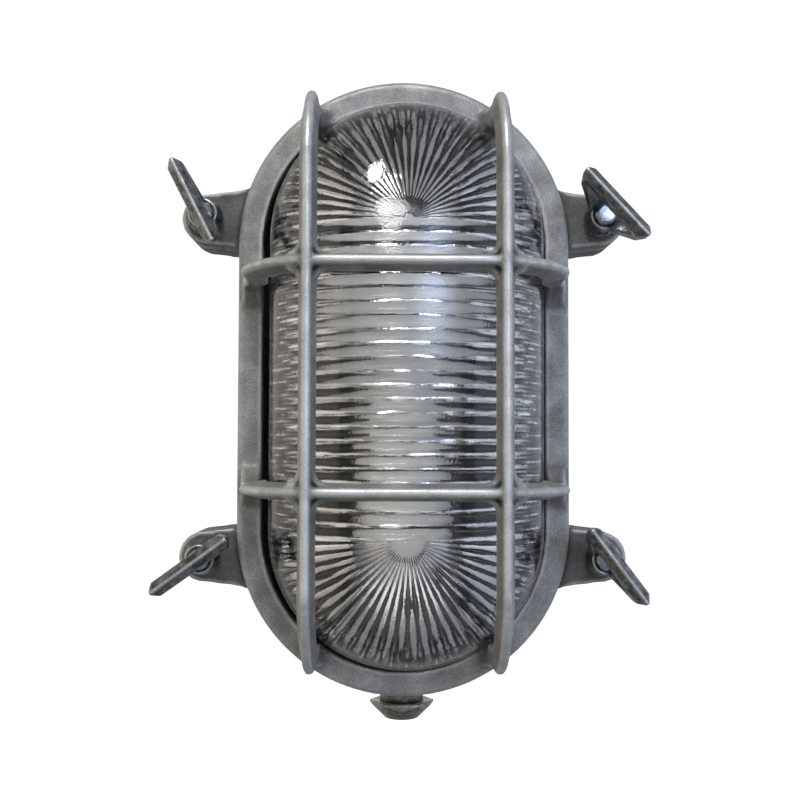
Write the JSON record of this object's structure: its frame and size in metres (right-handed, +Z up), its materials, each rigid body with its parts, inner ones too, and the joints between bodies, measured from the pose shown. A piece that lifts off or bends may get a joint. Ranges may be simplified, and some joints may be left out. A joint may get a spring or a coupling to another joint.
{
  "type": "bulkhead light",
  "caption": "Oval cast-metal bulkhead light: ribbed glass behind a cast-on bar guard, clamped to a wall housing by wing nuts on studs, with a cable gland below.",
  "frame": {"origin": "middle of the back face, on the wall", "axes": "+X to the right seen from the front, +Y into the wall, +Z up; the front faces -Y"},
  "size_m": [0.1835, 0.124, 0.2556],
  "materials": {
    "cast_aluminium": "sand cast, fine grain",
    "pressed_glass": "pressed, clear, ribbed inside",
    "black_rubber": "moulded, matt",
    "zinc_plated_steel": "bright zinc plate",
    "cast_iron_galvanised": "galvanised, worn",
    "porcelain": "glazed porcelain",
    "brass": "bare",
    "opal_lamp": "opal glass with a plated cap",
    "fibre": "vulcanised fibre",
    "plated_brass": "nickel plate, dulled"
  },
  "bodies": {
    "light": {"back_housing": "cast_aluminium", "cover_frame": "cast_aluminium", "ribbed_glass": "pressed_glass", "front_gasket": "black_rubber", "rear_gasket": "black_rubber", "studs": "zinc_plated_steel", "lampholder_body": "porcelain", "screw_shell": "brass", "centre_contact": "brass", "terminal_screws": "brass", "holder_screws": "zinc_plated_steel", "lampholder_bracket": "zinc_plated_steel", "bracket_screws": "zinc_plated_steel", "earth_screw": "brass", "lamp": "opal_lamp", "gland_washer": "fibre", "gland_body": "plated_brass", "gland_seal": "black_rubber"},
    "washer_top_left": {"washer_top_left": "zinc_plated_steel"},
    "nut_top_left": {"wing_nut_top_left": "cast_iron_galvanised"},
    "washer_top_right": {"washer_top_right": "zinc_plated_steel"},
    "nut_top_right": {"wing_nut_top_right": "cast_iron_galvanised"},
    "washer_bottom_left": {"washer_bottom_left": "zinc_plated_steel"},
    "nut_bottom_left": {"wing_nut_bottom_left": "cast_iron_galvanised"},
    "washer_bottom_right": {"washer_bottom_right": "zinc_plated_steel"},
    "nut_bottom_right": {"wing_nut_bottom_right": "cast_iron_galvanised"},
    "gland_ring": {"gland_slip_ring": "zinc_plated_steel"},
    "gland_nut": {"gland_nut": "plated_brass"}
  },
  "joints": [
    {"name": "nut_top_left_travel", "type": "slide", "parent": "light", "child": "washer_top_left", "axis": [0, -1, 0], "range_m": [0, 0.0091]},
    {"name": "nut_top_left_turn", "type": "hinge", "parent": "washer_top_left", "child": "nut_top_left", "pos_m": [-0.0785, -0.0486, 0.067], "axis": [0, -1, 0], "range_deg": [0, 2610]},
    {"name": "nut_top_right_travel", "type": "slide", "parent": "light", "child": "washer_top_right", "axis": [0, -1, 0], "range_m": [0, 0.0091]},
    {"name": "nut_top_right_turn", "type": "hinge", "parent": "washer_top_right", "child": "nut_top_right", "pos_m": [0.0785, -0.0486, 0.067], "axis": [0, -1, 0], "range_deg": [0, 2610]},
    {"name": "nut_bottom_left_travel", "type": "slide", "parent": "light", "child": "washer_bottom_left", "axis": [0, -1, 0], "range_m": [0, 0.0091]},
    {"name": "nut_bottom_left_turn", "type": "hinge", "parent": "washer_bottom_left", "child": "nut_bottom_left", "pos_m": [-0.0785, -0.0486, -0.067], "axis": [0, -1, 0], "range_deg": [0, 2610]},
    {"name": "nut_bottom_right_travel", "type": "slide", "parent": "light", "child": "washer_bottom_right", "axis": [0, -1, 0], "range_m": [0, 0.0091]},
    {"name": "nut_bottom_right_turn", "type": "hinge", "parent": "washer_bottom_right", "child": "nut_bottom_right", "pos_m": [0.0785, -0.0486, -0.067], "axis": [0, -1, 0], "range_deg": [0, 2610]},
    {"name": "gland_nut_travel", "type": "slide", "parent": "light", "child": "gland_ring", "axis": [0, 0, -1], "range_m": [0, 0.00225]},
    {"name": "gland_nut_turn", "type": "hinge", "parent": "gland_ring", "child": "gland_nut", "pos_m": [0, -0.02, -0.13], "axis": [0, 0, -1], "range_deg": [0, 540]}
  ],
  "couplings": [
    {"joint": "nut_top_left_travel", "follows": "nut_top_left_turn", "m_per_rad": 0.00019894},
    {"joint": "nut_top_right_travel", "follows": "nut_top_right_turn", "m_per_rad": 0.00019894},
    {"joint": "nut_bottom_left_travel", "follows": "nut_bottom_left_turn", "m_per_rad": 0.00019894},
    {"joint": "nut_bottom_right_travel", "follows": "nut_bottom_right_turn", "m_per_rad": 0.00019894},
    {"joint": "gland_nut_travel", "follows": "gland_nut_turn", "m_per_rad": 0.00023873}
  ]
}
